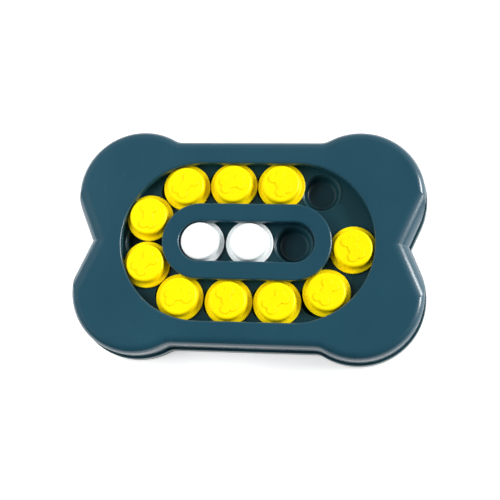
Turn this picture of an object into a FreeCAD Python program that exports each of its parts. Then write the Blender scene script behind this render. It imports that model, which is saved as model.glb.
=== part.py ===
import FreeCAD, Part
import math
import os
from FreeCAD import Vector as V

os.makedirs("parts", exist_ok=True)

# ------------------------------------------------------------------
# Bone-shaped dog puzzle feeder.  Millimetres, +Z up, origin at the
# centre of the rest plane (bottom of the rubber feet).
# ------------------------------------------------------------------

# --- board outline ---
lobe_x, lobe_y = 103.3, 46.5      # centre of each lobe
lobe_r = 62.7                     # lobe radius of the tray
edge_y = 99.4                     # half width of the waist
waist_r = 14.0                    # concave blend waist -> lobe
notch_x = 151.5                   # sharp notch where two lobes' tangents meet

# --- heights ---
top_z = 40.4                      # top of the cover
skirt_z = 1.5                     # lower edge of the tray skirt
shelf_z = 12.9                    # tray shelf = parting line
groove = 0.9                      # shadow gap at the parting line
deck_z = 28.0                     # deck the flanges run over
lip_z = 31.9                      # underside of the slot lips
floor_z = 16.5                    # bottom of the wells

# --- shells ---
wall = 2.6
sheet = 2.4
cover_inset = 2.2                 # cover is this much smaller than the tray
round_top = 8.0                   # big round-over of the cover
round_notch = 15.0                # it widens to this at the notch
lip_t = 3.4                       # thickness of the down-turned lip
lip_round = 1.7

# --- track ---
track_a = 43.5                    # half length of the straight part
track_r = 55.5                    # centre line radius of the bends
slot_ro = 75.0                    # outer edge of the ring slot
island_r = 36.0                   # outer edge of the island
guide_ri = 78.2                   # outer guide wall, inner face
guide_t = 2.4
plateau_ro = 32.9                 # island plateau in the tray
plateau_ri = 22.7
slot_a, slot_r = 44.5, 18.8       # centre slot in the island
island_round = 1.7
island_lip = 3.0

# --- caps ---
flange_r = 22.2
flange_z0, flange_z1 = 28.8, 31.3
knob_r = 18.2
knob_z = 39.8
knob_round = 2.2
cap_hollow_r = 15.8
relief_h = 0.7
relief_l, relief_w, relief_lobe = 7.6, 3.7, 4.4

# --- wells ---
well_rt, well_rb = 17.2, 15.2     # radius at the rim and at the floor
well_t = 2.0
rim_h = 0.4
ring_wells = [(22.5, 55.5), (67.5, 50.0), (99.0, 0.0), (67.5, -50.0),
              (22.5, -55.5), (-22.5, -55.5), (-67.5, -50.0), (-99.0, 0.0),
              (-67.5, 50.0), (-22.5, 55.5)]
centre_wells = [(-43.0, 0.0), (0.0, 0.0), (43.0, 0.0)]

# --- fasteners and feet ---
cover_posts = [(142.0, 38.0), (98.0, 90.5), (0.0, 88.0), (-98.0, 90.5), (-142.0, 38.0),
               (142.0, -38.0), (98.0, -90.5), (0.0, -88.0), (-98.0, -90.5), (-142.0, -38.0)]
island_posts = [(24.0, 27.9), (-24.0, 27.9), (24.0, -27.9), (-24.0, -27.9),
                (71.8, 0.0), (-71.8, 0.0)]
post_r = 3.9
island_post_r = 3.7
pilot_r = 1.35
screw_r = 1.3
head_r, head_h = 3.1, 2.0
hole_r = 1.7
feet_xy = [(121.0, 65.0), (-121.0, 65.0), (-121.0, -65.0), (121.0, -65.0)]
foot_r, foot_h = 11.0, 3.8
foot_recess = 2.0


def outline_points(o):
    """Key points of one quarter of the bone outline offset outwards by o."""
    R = lobe_r + o
    ys = edge_y + o
    r1 = waist_r - o
    cx, cy = lobe_x, lobe_y
    f1x = cx - math.sqrt((R + r1) ** 2 - (ys + r1 - cy) ** 2)
    f1y = ys + r1
    phi = math.atan2(cy, cx - notch_x) - math.asin(lobe_r / math.hypot(notch_x - cx, cy))
    m = (notch_x + o / math.sin(phi), 0.0)
    n = (cx + R * math.sin(phi), cy - R * math.cos(phi))
    t = (cx + (f1x - cx) * R / (R + r1), cy + (f1y - cy) * R / (R + r1))
    s = (f1x, ys)
    a0 = math.atan2(n[1] - cy, n[0] - cx)
    a1 = math.atan2(t[1] - cy, t[0] - cx)
    am = 0.5 * (a0 + a1)
    lm = (cx + R * math.cos(am), cy + R * math.sin(am))
    b0 = math.atan2(t[1] - f1y, t[0] - f1x)
    bm = 0.5 * (b0 - math.pi / 2)
    fm = (f1x + r1 * math.cos(bm), f1y + r1 * math.sin(bm))
    return m, n, lm, t, fm, s, phi


def outline(o):
    """Closed wire of the bone outline offset outwards by o, at z = 0."""
    m, n, lm, t, fm, s, phi = outline_points(o)

    def p(q, sx, sy):
        return V(q[0] * sx, q[1] * sy, 0)

    e = []
    arc = lambda a, b, c: e.append(Part.Arc(a, b, c).toShape())
    line = lambda a, b: e.append(Part.makeLine(a, b))
    line(p(m, 1, 1), p(n, 1, 1))
    arc(p(n, 1, 1), p(lm, 1, 1), p(t, 1, 1))
    arc(p(t, 1, 1), p(fm, 1, 1), p(s, 1, 1))
    line(p(s, 1, 1), p(s, -1, 1))
    arc(p(s, -1, 1), p(fm, -1, 1), p(t, -1, 1))
    arc(p(t, -1, 1), p(lm, -1, 1), p(n, -1, 1))
    line(p(n, -1, 1), p(m, -1, 1))
    line(p(m, -1, -1), p(n, -1, -1))
    arc(p(n, -1, -1), p(lm, -1, -1), p(t, -1, -1))
    arc(p(t, -1, -1), p(fm, -1, -1), p(s, -1, -1))
    line(p(s, -1, -1), p(s, 1, -1))
    arc(p(s, 1, -1), p(fm, 1, -1), p(t, 1, -1))
    arc(p(t, 1, -1), p(lm, 1, -1), p(n, 1, -1))
    line(p(n, 1, -1), p(m, 1, -1))
    return Part.Wire(e)


def rounded_bone(o, z0, z1, r, rn):
    """Bone block with a top round-over of radius r that widens to rn at the notches.
    Made as the half above y = 0 with its flanks run on below it, then cut at
    y = 0 and mirrored, so the two halves meet in a sharp valley."""
    m, n, lm, t, fm, s, phi = outline_points(o)
    k = 14.0
    w = (m[0] - k * math.cos(phi), m[1] - k * math.sin(phi))

    def p(q, sx):
        return V(q[0] * sx, q[1], z0)

    e = [Part.makeLine(p(w, 1), p(n, 1)),
         Part.Arc(p(n, 1), p(lm, 1), p(t, 1)).toShape(),
         Part.Arc(p(t, 1), p(fm, 1), p(s, 1)).toShape(),
         Part.makeLine(p(s, 1), p(s, -1)),
         Part.Arc(p(s, -1), p(fm, -1), p(t, -1)).toShape(),
         Part.Arc(p(t, -1), p(lm, -1), p(n, -1)).toShape(),
         Part.makeLine(p(n, -1), p(w, -1)),
         Part.makeLine(p(w, -1), p(w, 1))]
    b = Part.Face(Part.Wire(e)).extrude(V(0, 0, z1 - z0))
    b = b.makeFillet(r, edges_at(b, z1, lambda q: max(v.Point.y for v in q.Vertexes) > w[1] + 0.1))
    # wide round-over along the straight flanks
    flank = Part.makeBox(600, 500, z1 - z0 + 2, V(-300, 0, z0 - 2))
    flank = flank.makeFillet(rn, edges_at(flank, z1, lambda q: max(v.Point.y for v in q.Vertexes) < 0.01))
    flank.rotate(V(0, 0, 0), V(0, 0, 1), math.degrees(phi))
    flank.translate(V(m[0], m[1], 0))
    b = b.common(flank)
    b = b.common(flank.mirror(V(0, 0, 0), V(1, 0, 0)))
    half = b.common(Part.makeBox(400, 200, 100, V(-200, 0, z0 - 20)))
    other = half.mirror(V(0, 0, 0), V(0, 1, 0))
    return half.fuse(other).removeSplitter()


def bone(o, z0, z1):
    f = Part.Face(outline(o))
    f.translate(V(0, 0, z0))
    return f.extrude(V(0, 0, z1 - z0))


def stadium(a, r, z0, z1):
    e = [Part.makeLine(V(-a, r, z0), V(a, r, z0)),
         Part.Arc(V(a, r, z0), V(a + r, 0, z0), V(a, -r, z0)).toShape(),
         Part.makeLine(V(a, -r, z0), V(-a, -r, z0)),
         Part.Arc(V(-a, -r, z0), V(-a - r, 0, z0), V(-a, r, z0)).toShape()]
    return Part.Face(Part.Wire(e)).extrude(V(0, 0, z1 - z0))


def cyl(x, y, r, z0, z1):
    return Part.makeCylinder(r, z1 - z0, V(x, y, z0))


def edges_at(shape, z, test=None, tol=0.01):
    out = []
    for e in shape.Edges:
        b = e.BoundBox
        if abs(b.ZMin - z) < tol and abs(b.ZMax - z) < tol:
            if test is None or test(e):
                out.append(e)
    return out


def in_stadium(a, r):
    """Test for an edge lying on the stadium line of half length a, radius r."""
    def test(e):
        p = e.valueAt(0.5 * (e.FirstParameter + e.LastParameter))
        dx = max(abs(p.x) - a, 0.0)
        return abs(math.hypot(dx, p.y) - r) < 0.02
    return test


def revolved(points, x=0.0, y=0.0):
    """Solid of revolution about Z from (r, z) points; third item = bulge mid point."""
    e = []
    for i in range(len(points)):
        a = points[i]
        b = points[(i + 1) % len(points)]
        pa, pb = V(a[0], 0, a[1]), V(b[0], 0, b[1])
        if (pa - pb).Length < 1e-6:
            continue
        if len(a) == 4:
            e.append(Part.Arc(pa, V(a[2], 0, a[3]), pb).toShape())
        else:
            e.append(Part.makeLine(pa, pb))
    f = Part.Face(Part.Wire(e))
    s = f.revolve(V(0, 0, 0), V(0, 0, 1), 360)
    s.translate(V(x, y, 0))
    return s


def q(cx, cz, r, a):
    """Mid point of a quarter round."""
    return (cx + r * math.cos(math.radians(a)), cz + r * math.sin(math.radians(a)))


def export(shape, node):
    if isinstance(shape, Part.Compound) and len(shape.Solids) == 1:
        shape = shape.Solids[0]
    shape.exportStep("parts/%s.step" % node)


# ------------------------------------------------------------------
# bottom tray: skirt, shelf and racetrack wall
# ------------------------------------------------------------------
tray = bone(0, skirt_z, shelf_z)
tray = tray.makeFillet(1.0, edges_at(tray, shelf_z))
tray = tray.cut(bone(-sheet, skirt_z - 1, shelf_z - sheet))
tray = tray.cut(stadium(track_a, guide_ri, shelf_z - 2 * sheet, shelf_z + 1))
# tongue that locates the cover
tongue = bone(-cover_inset - wall - 0.3, shelf_z - 0.5, shelf_z + 4.0).cut(
    bone(-cover_inset - wall - 2.1, shelf_z - 1, shelf_z + 5))
tray = tray.fuse(tongue)
# racetrack wall; its upper end guides the flanges, a ledge inside it carries the deck
rail = stadium(track_a, guide_ri + guide_t, shelf_z - sheet - 6.0, lip_z - 0.2).cut(
    stadium(track_a, guide_ri, 0, lip_z + 1))
tray = tray.fuse(rail)
ledge = stadium(track_a, guide_ri + 0.5, deck_z - sheet - 2.0, deck_z - sheet).cut(
    stadium(track_a, guide_ri - 2.0, 0, 60))
tray = tray.fuse(ledge)
# stiffening ribs under the shelf
ribs = []
for sx in (-1, 1):
    for sy in (-1, 1):
        for ang in (8.0, 33.0, 58.0, 83.0):
            rib = Part.makeBox(60.0, 1.8, 6.0, V(guide_ri + 0.5, -0.9, shelf_z - sheet - 6.0))
            rib.rotate(V(0, 0, 0), V(0, 0, 1), ang)
            rib.translate(V(track_a, 0, 0))
            if sx < 0:
                rib = rib.mirror(V(0, 0, 0), V(1, 0, 0))
            if sy < 0:
                rib = rib.mirror(V(0, 0, 0), V(0, 1, 0))
            ribs.append(rib)
rib_area = bone(-0.8, 0, 60)
ribs = [r.common(rib_area) for r in ribs]
tray = tray.fuse(ribs)
# screw seats under the shelf, and foot sockets
seats, bores = [], []
for (x, y) in cover_posts:
    seats.append(cyl(x, y, 5.3, shelf_z - sheet - 3.6, shelf_z - 0.3))
    bores.append(cyl(x, y, hole_r, 0, shelf_z + 1))
    bores.append(cyl(x, y, head_r + 0.5, 0, shelf_z - sheet))
for (x, y) in feet_xy:
    seats.append(cyl(x, y, foot_r + 2.2, foot_h - foot_recess, shelf_z - 0.3))
    bores.append(cyl(x, y, foot_r + 0.05, 0, foot_h))
tray = tray.fuse(seats)
tray = tray.cut(Part.makeCompound(bores))
tray = tray.removeSplitter()
export(tray, "bottom_tray")

# ------------------------------------------------------------------
# well deck: the floor of the track with the island plateau
# ------------------------------------------------------------------
cup_ro = well_rt + well_t
deck = stadium(track_a, guide_ri - 0.02, deck_z - sheet, deck_z)
plateau = stadium(track_a, plateau_ro, deck_z - sheet, lip_z).cut(
    stadium(slot_a, plateau_ri, deck_z - sheet - 1, lip_z + 1))
deck = deck.fuse(plateau)
deck = deck.cut(Part.makeCompound(
    [cyl(x, y, cup_ro, deck_z - sheet - 1, deck_z + 0.2) for (x, y) in ring_wells + centre_wells]
    + [cyl(x, y, hole_r, deck_z - sheet - 1, lip_z + 1) for (x, y) in island_posts]))
deck = deck.removeSplitter()
export(deck, "well_deck")


def cup(x, y):
    """Food well: flat floor, rounded foot, slight taper, step below a rolled rim."""
    body = revolved([(0, floor_z - well_t), (well_rb + well_t - 3.0, floor_z - well_t) +
                     q(well_rb + well_t - 3.0, floor_z - well_t + 3.0, 3.0, -45),
                     (well_rb + well_t, floor_z - well_t + 3.0),
                     (cup_ro, deck_z - 0.6),
                     (cup_ro, deck_z + rim_h - 0.3),
                     (cup_ro - 0.3, deck_z + rim_h),
                     (0, deck_z + rim_h)])
    hollow = revolved([(0, floor_z), (well_rb - 4.0, floor_z) +
                       q(well_rb - 4.0, floor_z + 4.0, 4.0, -45),
                       (well_rb, floor_z + 4.0),
                       (well_rt - 0.75, deck_z - 2.6),
                       (well_rt - 0.05, deck_z - 2.2),
                       (well_rt, deck_z - 1.0) +
                       (well_rt + 0.32, deck_z + rim_h - 0.40),
                       (well_rt + 1.1, deck_z + rim_h + 0.001),
                       (well_rt + 1.1, deck_z + rim_h + 1.0),
                       (0, deck_z + rim_h + 1.0)])
    c = body.cut(hollow)
    c.translate(V(x, y, 0))
    return c


for i, (x, y) in enumerate(ring_wells):
    export(cup(x, y), "ring_well_%02d" % (i + 1))
for i, (x, y) in enumerate(centre_wells):
    export(cup(x, y), "centre_well_%02d" % (i + 1))

# ------------------------------------------------------------------
# top cover
# ------------------------------------------------------------------
cover_z0 = shelf_z + groove
cover = rounded_bone(-cover_inset, cover_z0, top_z, round_top, round_notch)
inner = rounded_bone(-cover_inset - wall, cover_z0 - 1, top_z - wall,
                     round_top - wall, round_notch - wall)
cover = cover.cut(inner)
lip = stadium(track_a, slot_ro + lip_t, lip_z, top_z - 1.0)
cover = cover.fuse(lip)
posts = [cyl(x, y, post_r, shelf_z, top_z - wall + 0.6) for (x, y) in cover_posts]
cover = cover.fuse(posts)
cover = cover.cut(stadium(track_a, slot_ro, lip_z - 1, top_z + 1))
cover = cover.cut(Part.makeCompound([cyl(x, y, pilot_r, shelf_z - 1, 30.0) for (x, y) in cover_posts]))
cover = cover.removeSplitter()
cover = cover.makeFillet(lip_round, edges_at(cover, top_z, in_stadium(track_a, slot_ro)))
cover = cover.makeFillet(0.8, edges_at(cover, lip_z, in_stadium(track_a, slot_ro)))
export(cover, "top_cover")

# ------------------------------------------------------------------
# island cover
# ------------------------------------------------------------------
isl = stadium(track_a, island_r, lip_z, top_z)
isl = isl.makeFillet(island_round, edges_at(isl, top_z))
cav = stadium(track_a, island_r - island_lip, lip_z - 1, top_z - wall).cut(
    stadium(slot_a, slot_r + island_lip, lip_z - 2, top_z))
isl = isl.cut(cav)
isl = isl.fuse([cyl(x, y, island_post_r, lip_z, top_z - wall + 0.6) for (x, y) in island_posts])
isl = isl.cut(stadium(slot_a, slot_r, lip_z - 1, top_z + 1))
isl = isl.cut(Part.makeCompound([cyl(x, y, pilot_r, lip_z - 1, 37.2) for (x, y) in island_posts]))
isl = isl.removeSplitter()
isl = isl.makeFillet(island_round, edges_at(isl, top_z, in_stadium(slot_a, slot_r)))
isl = isl.makeFillet(0.7, edges_at(isl, lip_z, in_stadium(slot_a, slot_r))
                     + edges_at(isl, lip_z, in_stadium(track_a, island_r)))
export(isl, "island_cover")


# ------------------------------------------------------------------
# sliding caps
# ------------------------------------------------------------------
def cap():
    kt = knob_z
    pts = [(0, kt), (knob_r - 0.5 - knob_round, kt) + q(knob_r - 0.5 - knob_round, kt - knob_round, knob_round, 45),
           (knob_r - 0.5, kt - knob_round),
           (knob_r, flange_z1 + 0.8) + q(knob_r + 0.8, flange_z1 + 0.8, 0.8, 225),
           (knob_r + 0.8, flange_z1),
           (flange_r - 0.9, flange_z1) + q(flange_r - 0.9, flange_z1 - 0.9, 0.9, 45),
           (flange_r, flange_z1 - 0.9),
           (flange_r, flange_z0 + 0.4),
           (flange_r - 0.4, flange_z0),
           (cap_hollow_r, flange_z0),
           (cap_hollow_r - 0.6, kt - 4.4) + q(cap_hollow_r - 2.6, kt - 4.4, 2.0, 45),
           (cap_hollow_r - 2.6, kt - 2.4),
           (0, kt - 2.4)]
    return revolved(pts)


def bone_relief(ang):
    """Low raised generic bone on the knob top."""
    z0, z1 = knob_z - 0.5, knob_z + relief_h
    s = Part.makeBox(2 * relief_l, 2 * relief_lobe, z1 - z0, V(-relief_l, -relief_lobe, z0))
    s = s.fuse([cyl(sx * relief_l, sy * relief_w, relief_lobe, z0, z1) for sx in (-1, 1) for sy in (-1, 1)])
    s = s.removeSplitter()
    s = s.makeFillet(0.45, edges_at(s, z1))
    s.rotate(V(0, 0, 0), V(0, 0, 1), ang)
    return s


def on_straight(x, side):
    return (x, side * track_r)


def on_bend(deg, side):
    a = math.radians(deg)
    return (side * track_a + track_r * math.cos(a), track_r * math.sin(a))


# name: (centre, rotation of the relief)
yellow = {
    "yellow_slider_01": (on_bend(107.4, -1), 50.0),
    "yellow_slider_02": (on_straight(-15.0, 1), 15.0),
    "yellow_slider_03": (on_straight(30.1, 1), 118.0),
    "yellow_slider_04": (on_bend(155.5, -1), 88.0),
    "yellow_slider_05": (on_bend(203.5, -1), 45.0),
    "yellow_slider_06": (on_bend(251.6, -1), 10.0),
    "yellow_slider_07": (on_straight(-15.0, -1), 108.0),
    "yellow_slider_08": (on_straight(30.2, -1), 40.0),
    "yellow_slider_09": (on_bend(-55.0, 1), 60.0),
    "yellow_slider_10": (on_bend(-4.8, 1), 115.0),
}
white = {
    "white_slider_01": (-44.0, 0.0),
    "white_slider_02": (2.2, 0.0),
}
plain = cap()
for name, (c, ang) in yellow.items():
    s = plain.fuse(bone_relief(ang)).removeSplitter()
    s.translate(V(c[0], c[1], 0))
    export(s, name)
for name, c in white.items():
    s = plain.copy()
    s.translate(V(c[0], c[1], 0))
    export(s, name)

# ------------------------------------------------------------------
# rubber feet
# ------------------------------------------------------------------
for i, (x, y) in enumerate(feet_xy):
    f = revolved([(0, 0), (foot_r - 1.0, 0) + q(foot_r - 1.0, 1.0, 1.0, -45),
                  (foot_r, 1.0), (foot_r, foot_h), (0, foot_h)], x, y)
    export(f, "rubber_foot_%02d" % (i + 1))


# ------------------------------------------------------------------
# screws
# ------------------------------------------------------------------
def screw(x, y, z_seat, length):
    """Pan head under z_seat, shank going up."""
    s = revolved([(0, z_seat - head_h), (head_r - 1.0, z_seat - head_h) +
                  q(head_r - 1.0, z_seat - head_h + 1.0, 1.0, -45),
                  (head_r, z_seat - head_h + 1.0), (head_r, z_seat),
                  (screw_r, z_seat), (screw_r, z_seat + length - 1.2),
                  (0.3, z_seat + length), (0, z_seat + length)], x, y)
    for a in (0, 90):
        b = Part.makeBox(3.4, 0.8, 1.2, V(-1.7, -0.4, z_seat - head_h - 0.2))
        b.rotate(V(0, 0, 0), V(0, 0, 1), a)
        b.translate(V(x, y, 0))
        s = s.cut(b)
    return s


export(Part.makeCompound([screw(x, y, shelf_z - sheet, 16.0) for (x, y) in cover_posts]), "cover_screws")
export(Part.makeCompound([screw(x, y, deck_z - sheet, 11.0) for (x, y) in island_posts]), "island_screws")
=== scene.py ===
import math

import bpy
from mathutils import Matrix, Vector


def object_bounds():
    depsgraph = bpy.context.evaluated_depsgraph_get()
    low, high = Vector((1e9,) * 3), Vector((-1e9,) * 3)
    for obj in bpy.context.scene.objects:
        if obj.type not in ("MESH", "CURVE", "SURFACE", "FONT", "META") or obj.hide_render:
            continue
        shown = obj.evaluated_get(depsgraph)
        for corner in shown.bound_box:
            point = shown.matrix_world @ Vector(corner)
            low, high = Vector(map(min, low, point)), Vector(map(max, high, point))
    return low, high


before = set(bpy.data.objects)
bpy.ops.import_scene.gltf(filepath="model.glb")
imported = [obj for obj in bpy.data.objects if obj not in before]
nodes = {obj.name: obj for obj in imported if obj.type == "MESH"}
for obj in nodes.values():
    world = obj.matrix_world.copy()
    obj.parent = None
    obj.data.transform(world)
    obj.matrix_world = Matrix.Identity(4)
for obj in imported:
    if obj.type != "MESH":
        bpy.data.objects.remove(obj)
cad_lo, cad_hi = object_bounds()
scene = bpy.context.scene


# ------------------------------------------------------------------
# camera: solved from the outline and the caps in the photograph
# ------------------------------------------------------------------
cam_data = bpy.data.cameras.new("camera")
cam = bpy.data.objects.new("camera", cam_data)
scene.collection.objects.link(cam)
scene.camera = cam
pitch, yaw, roll = 0.208829, 0.137612, 0.046166
cam_data.sensor_width = 36.0
cam_data.lens = 1006.526 * 36.0 / 500.0
cp, sp = math.cos(pitch), math.sin(pitch)
cy, sy = math.cos(yaw), math.sin(yaw)
cr, sr = math.cos(roll), math.sin(roll)
rx = Matrix(((1, 0, 0), (0, cp, sp), (0, -sp, cp)))
ry = Matrix(((cy, 0, -sy), (0, 1, 0), (sy, 0, cy)))
rz = Matrix(((cr, sr, 0), (-sr, cr, 0), (0, 0, 1)))
to_cam = rz @ rx @ ry
cam.matrix_world = Matrix.Translation((0.12867, -0.20065, 0.93898)) @ to_cam.transposed().to_4x4()
cam_data.clip_start, cam_data.clip_end = 0.05, 20.0
cam_data.dof.use_dof = False
scene.view_settings.view_transform = "Standard"
scene.view_settings.look = "None"


# ------------------------------------------------------------------
# materials
# ------------------------------------------------------------------
def srgb(r, g, b):
    def f(c):
        c = c / 255.0
        return c / 12.92 if c <= 0.04045 else ((c + 0.055) / 1.055) ** 2.4
    return (f(r), f(g), f(b), 1.0)


class Net:
    """A small helper that builds a node material."""

    def __init__(self, name):
        self.mat = bpy.data.materials.new(name)
        self.mat.use_nodes = True
        self.t = self.mat.node_tree
        self.bsdf = self.t.nodes["Principled BSDF"]
        self.coord = self.t.nodes.new("ShaderNodeTexCoord")

    def node(self, kind, **values):
        n = self.t.nodes.new(kind)
        for k, v in values.items():
            setattr(n, k, v)
        return n

    def link(self, a, b):
        self.t.links.new(a, b)

    def noise(self, scale, detail=3.0, rough=0.5, stretch=None):
        n = self.node("ShaderNodeTexNoise")
        n.inputs["Scale"].default_value = scale
        n.inputs["Detail"].default_value = detail
        n.inputs["Roughness"].default_value = rough
        if stretch:
            m = self.node("ShaderNodeMapping")
            m.inputs["Scale"].default_value = stretch
            self.link(self.coord.outputs["Object"], m.inputs["Vector"])
            self.link(m.outputs["Vector"], n.inputs["Vector"])
        else:
            self.link(self.coord.outputs["Object"], n.inputs["Vector"])
        return n.outputs["Fac"]

    def ramp(self, fac, stops):
        r = self.node("ShaderNodeValToRGB")
        els = r.color_ramp.elements
        while len(els) < len(stops):
            els.new(0.5)
        for e, (p, c) in zip(els, stops):
            e.position = p
            e.color = c if len(c) == 4 else (*c, 1.0)
        self.link(fac, r.inputs["Fac"])
        return r.outputs["Color"]

    def span(self, fac, lo, hi, a=0.0, b=1.0):
        m = self.node("ShaderNodeMapRange")
        m.inputs["From Min"].default_value = a
        m.inputs["From Max"].default_value = b
        m.inputs["To Min"].default_value = lo
        m.inputs["To Max"].default_value = hi
        self.link(fac, m.inputs["Value"])
        return m.outputs["Result"]

    def mix(self, fac, a, b, mode="MIX"):
        m = self.node("ShaderNodeMix", data_type="RGBA", blend_type=mode)
        for socket, v in ((m.inputs[0], fac), (m.inputs[6], a), (m.inputs[7], b)):
            if isinstance(v, (int, float, tuple)):
                socket.default_value = v
            else:
                self.link(v, socket)
        return m.outputs[2]

    def math(self, op, a, b=None):
        m = self.node("ShaderNodeMath", operation=op)
        for i, v in enumerate((a, b)):
            if v is None:
                continue
            if isinstance(v, (int, float)):
                m.inputs[i].default_value = v
            else:
                self.link(v, m.inputs[i])
        return m.outputs[0]

    def bump(self, height, strength, distance, below=None):
        b = self.node("ShaderNodeBump")
        b.inputs["Strength"].default_value = strength
        b.inputs["Distance"].default_value = distance
        self.link(height, b.inputs["Height"])
        if below is not None:
            self.link(below, b.inputs["Normal"])
        return b.outputs["Normal"]

    def soft_edge(self, radius, samples=4):
        b = self.node("ShaderNodeBevel")
        b.samples = samples
        b.inputs["Radius"].default_value = radius
        return b.outputs["Normal"]


def plastic(name, base, dark, rough=0.22, fine=0.02, coat=0.25, coat_rough=0.08,
            edge=0.0003, sss=0.0, scratches=0.5, rubbed=0.0, spec=0.5):
    """Injection-moulded plastic: flow marks in the colour, a faint moulded skin,
    fine rubbed scratches in the gloss, softened and slightly polished edges."""
    m = Net(name)
    cloud = m.noise(9.0, 3.0, 0.55)
    flow = m.noise(26.0, 4.0, 0.6, (1.0, 0.35, 1.0))
    grain = m.noise(2600.0, 2.0, 0.6)
    fac = m.math("ADD", m.math("MULTIPLY", cloud, 0.7), m.math("MULTIPLY", flow, 0.3))
    colour = m.ramp(fac, [(0.30, dark), (0.62, base)])
    soft = m.soft_edge(edge)
    if rubbed:
        geo = m.node("ShaderNodeNewGeometry")
        dot = m.node("ShaderNodeVectorMath", operation="DOT_PRODUCT")
        m.link(m.soft_edge(0.0011), dot.inputs[0])
        m.link(geo.outputs["Normal"], dot.inputs[1])
        worn = m.math("MULTIPLY", m.span(dot.outputs["Value"], 1.0, 0.0, 0.86, 0.995),
                      m.span(m.noise(170.0, 3.0, 0.6), 0.25, 1.0, 0.40, 0.62))
        light = tuple(min(1.0, c * 1.5 + 0.012) for c in base[:3]) + (1.0,)
        colour = m.mix(m.math("MULTIPLY", worn, rubbed), colour, light)
    m.link(colour, m.bsdf.inputs["Base Color"])
    # rubbed hairlines, running two ways, in patches
    s1 = m.noise(2600.0, 1.0, 0.5, (1.0, 0.02, 0.3))
    s2 = m.noise(2400.0, 1.0, 0.5, (0.025, 1.0, 0.3))
    lines = m.math("MAXIMUM", m.span(s1, 0.0, 1.0, 0.66, 0.76), m.span(s2, 0.0, 1.0, 0.68, 0.78))
    patch = m.span(m.noise(14.0, 2.0, 0.5), 0.0, 1.0, 0.45, 0.70)
    wear = m.math("MULTIPLY", m.math("MULTIPLY", lines, patch), scratches)
    r = m.math("ADD", m.span(cloud, rough - 0.04, rough + 0.05, 0.3, 0.7),
               m.math("MULTIPLY", wear, 0.16))
    m.link(r, m.bsdf.inputs["Roughness"])
    n = m.bump(flow, 0.02, 0.0004, soft)
    n = m.bump(grain, fine, 0.00006, n)
    m.link(n, m.bsdf.inputs["Normal"])
    m.bsdf.inputs["Coat Weight"].default_value = coat
    m.bsdf.inputs["Coat Roughness"].default_value = coat_rough
    m.bsdf.inputs["IOR"].default_value = 1.50
    m.bsdf.inputs["Specular IOR Level"].default_value = spec
    if sss:
        m.bsdf.inputs["Subsurface Weight"].default_value = sss
        m.bsdf.inputs["Subsurface Radius"].default_value = (1.0, 0.6, 0.2)
        m.bsdf.inputs["Subsurface Scale"].default_value = 0.0012
    return m.mat


blue = plastic("cover_blue_plastic", srgb(30, 72, 88), srgb(26, 66, 81), rough=0.25, coat=0.25,
               rubbed=0.12)
tray_blue = plastic("tray_blue_plastic", srgb(24, 64, 74), srgb(20, 57, 67), rough=0.32, coat=0.12,
                    rubbed=0.10)
yellow = plastic("cap_yellow_plastic", srgb(255, 231, 0), srgb(255, 222, 0), rough=0.34, coat=0.0,
                 sss=0.08, spec=0.22, scratches=0.35)
white = plastic("cap_white_plastic", srgb(245, 250, 250), srgb(239, 245, 246), rough=0.30, coat=0.12,
                sss=0.08, scratches=0.30)


def rubber():
    m = Net("foot_rubber")
    speck = m.noise(900.0, 3.0, 0.6)
    cloud = m.noise(120.0, 3.0, 0.6)
    m.link(m.ramp(cloud, [(0.3, srgb(32, 33, 35)), (0.7, srgb(48, 49, 52))]), m.bsdf.inputs["Base Color"])
    m.link(m.span(speck, 0.62, 0.85, 0.3, 0.7), m.bsdf.inputs["Roughness"])
    m.link(m.bump(speck, 0.25, 0.0001, m.soft_edge(0.0002)), m.bsdf.inputs["Normal"])
    return m.mat


def steel():
    m = Net("zinc_steel")
    cloud = m.noise(300.0, 3.0, 0.6)
    m.link(m.ramp(cloud, [(0.3, srgb(150, 152, 156)), (0.7, srgb(196, 198, 200))]), m.bsdf.inputs["Base Color"])
    m.bsdf.inputs["Metallic"].default_value = 1.0
    m.link(m.span(cloud, 0.25, 0.42, 0.3, 0.7), m.bsdf.inputs["Roughness"])
    m.link(m.bump(m.noise(1500.0, 2.0, 0.5), 0.15, 0.00005, m.soft_edge(0.00015)), m.bsdf.inputs["Normal"])
    return m.mat


foot = rubber()
zinc = steel()


def dress(node, mat):
    o = nodes[node]
    o.data.materials.clear()
    o.data.materials.append(mat)
    for p in o.data.polygons:
        p.material_index = 0


for n in nodes:
    if n.startswith("yellow"):
        dress(n, yellow)
    elif n.startswith("white"):
        dress(n, white)
    elif n.startswith("rubber"):
        dress(n, foot)
    elif n.endswith("screws"):
        dress(n, zinc)
    elif n in ("bottom_tray", "well_deck") or "_well_" in n:
        dress(n, tray_blue)
    else:
        dress(n, blue)


# ------------------------------------------------------------------
# floor, lights
# ------------------------------------------------------------------
def quad(name, size, z):
    me = bpy.data.meshes.new(name)
    me.from_pydata([(-size, -size, z), (size, -size, z), (size, size, z), (-size, size, z)], [], [(0, 1, 2, 3)])
    o = bpy.data.objects.new(name, me)
    scene.collection.objects.link(o)
    return o


floor = quad("floor", 6.0, cad_lo.z)
fm = Net("floor_paper")
fm.link(fm.ramp(fm.noise(3.0, 3.0, 0.5), [(0.3, (0.90, 0.90, 0.90)), (0.7, (0.93, 0.93, 0.93))]),
        fm.bsdf.inputs["Base Color"])
fm.bsdf.inputs["Roughness"].default_value = 0.9
fm.bsdf.inputs["Emission Color"].default_value = (1.0, 1.0, 1.0, 1.0)
fm.bsdf.inputs["Emission Strength"].default_value = 0.42
floor.data.materials.append(fm.mat)


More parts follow.
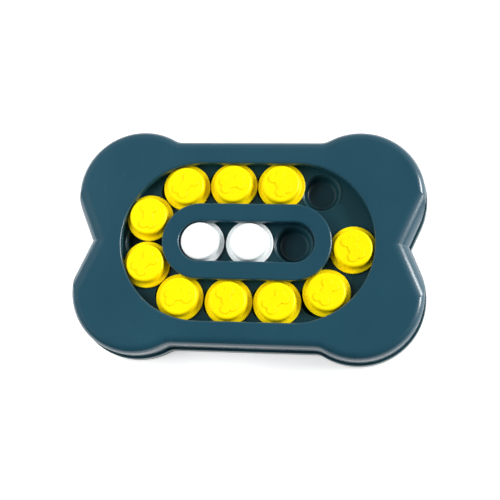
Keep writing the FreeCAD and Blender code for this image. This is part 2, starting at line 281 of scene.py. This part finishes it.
def area(name, where, target, size, power, colour=(1, 1, 1), size_y=None):
    d = bpy.data.lights.new(name, "AREA")
    d.energy = power
    d.color = colour
    d.size = size
    if size_y:
        d.shape = "RECTANGLE"
        d.size_y = size_y
    o = bpy.data.objects.new(name, d)
    o.location = where
    o.rotation_euler = (Vector(target) - Vector(where)).to_track_quat("-Z", "Y").to_euler()
    o.visible_camera = False
    scene.collection.objects.link(o)
    return o


area("key_right", (1.57, 0.40, 0.77), (0.0, 0.0, 0.02), 1.0, 36.0, size_y=0.5)
area("near_left", (-0.72, -0.02, 0.66), (-0.07, -0.05, 0.02), 1.0, 9.5, size_y=0.7).visible_glossy = False

# soft surroundings: bright all round the horizon, dim overhead and in front
world = bpy.data.worlds.new("world")
scene.world = world
world.use_nodes = True
wt = world.node_tree
bg = wt.nodes["Background"]


def wnode(kind, **values):
    n = wt.nodes.new(kind)
    for k, v in values.items():
        setattr(n, k, v)
    return n


wc = wnode("ShaderNodeTexCoord")
wx = wnode("ShaderNodeSeparateXYZ")
wt.links.new(wc.outputs["Generated"], wx.inputs[0])
rise = wnode("ShaderNodeValToRGB")
els = rise.color_ramp.elements
while len(els) < 5:
    els.new(0.5)
for e, (p, v) in zip(els, [(0.0, 0.46), (0.40, 0.46), (0.78, 0.42), (0.92, 0.14), (1.0, 0.08)]):
    e.position = p
    e.color = (v, v, v, 1.0)
wt.links.new(wx.outputs["Z"], rise.inputs["Fac"])


def wspan(socket, a, b, lo, hi):
    m = wnode("ShaderNodeMapRange")
    for k, v in (("From Min", a), ("From Max", b), ("To Min", lo), ("To Max", hi)):
        m.inputs[k].default_value = v
    wt.links.new(socket, m.inputs["Value"])
    return m.outputs["Result"]


def wmul(a, b):
    m = wnode("ShaderNodeMath", operation="MULTIPLY")
    wt.links.new(a, m.inputs[0])
    wt.links.new(b, m.inputs[1])
    return m.outputs[0]


front = wspan(wx.outputs["Y"], -0.60, 0.05, 0.10, 1.0)
right = wspan(wx.outputs["X"], 0.20, 0.80, 1.0, 1.7)
wt.links.new(wmul(rise.outputs["Color"], wmul(front, right)), bg.inputs["Strength"])
bg.inputs["Color"].default_value = (0.97, 0.99, 1.0, 1.0)
